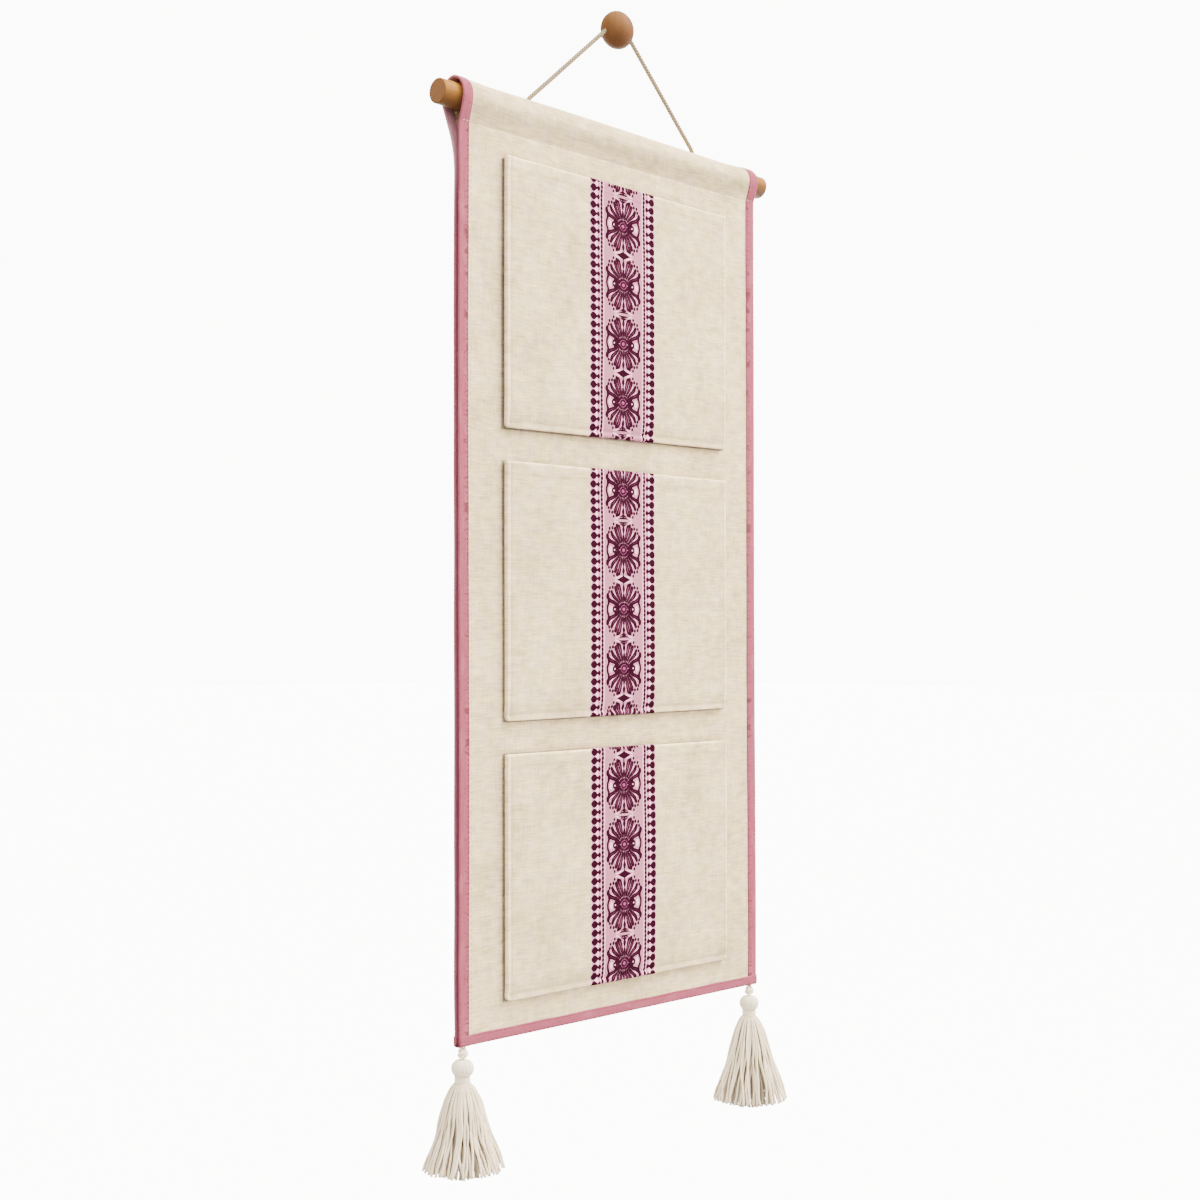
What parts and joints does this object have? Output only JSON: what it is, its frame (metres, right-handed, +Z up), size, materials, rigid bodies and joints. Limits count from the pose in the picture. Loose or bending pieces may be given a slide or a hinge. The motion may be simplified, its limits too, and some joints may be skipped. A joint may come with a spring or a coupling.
{
  "type": "linen pocket wall hanging with wooden dowel and wall knob",
  "caption": "Long linen wall hanging, folded over a wooden dowel and bound with pink tape, with open letter pockets, woven ribbon, corner tassels and a cord to a turned wall knob.",
  "frame": {"origin": "centre of the flat end of the knob's shank, on the wall", "axes": "+Z up, the hanging faces -Y and the wall is the plane y = 0, +X to the right as seen from the front"},
  "size_m": [0.3311, 0.0416, 0.757],
  "materials": {
    "linen": "natural slubby plain weave, matte",
    "pink_tape": "dusty pink cotton tape, folded and stitched",
    "woven_ribbon": "jacquard ribbon, purple flowers on a pink ground",
    "dowel_wood": "natural wood, satin, sawn ends",
    "knob_wood": "brown stained wood, waxed",
    "cord_beige": "thin twisted cord, matte",
    "cotton_yarn": "cream cotton yarn, matte"
  },
  "bodies": {
    "root": {"panel": "linen", "binding_left": "pink_tape", "binding_right": "pink_tape", "binding_bottom": "pink_tape", "pocket_1": "linen", "pocket_2": "linen", "pocket_3": "linen", "ribbon_1": "woven_ribbon", "ribbon_2": "woven_ribbon", "ribbon_3": "woven_ribbon", "dowel": "dowel_wood", "hanging_cord": "cord_beige", "knob": "knob_wood", "tassel_left": "cotton_yarn", "tassel_wrap_left": "cotton_yarn", "tassel_loop_left": "cotton_yarn", "tassel_right": "cotton_yarn", "tassel_wrap_right": "cotton_yarn", "tassel_loop_right": "cotton_yarn"}
  },
  "joints": []
}
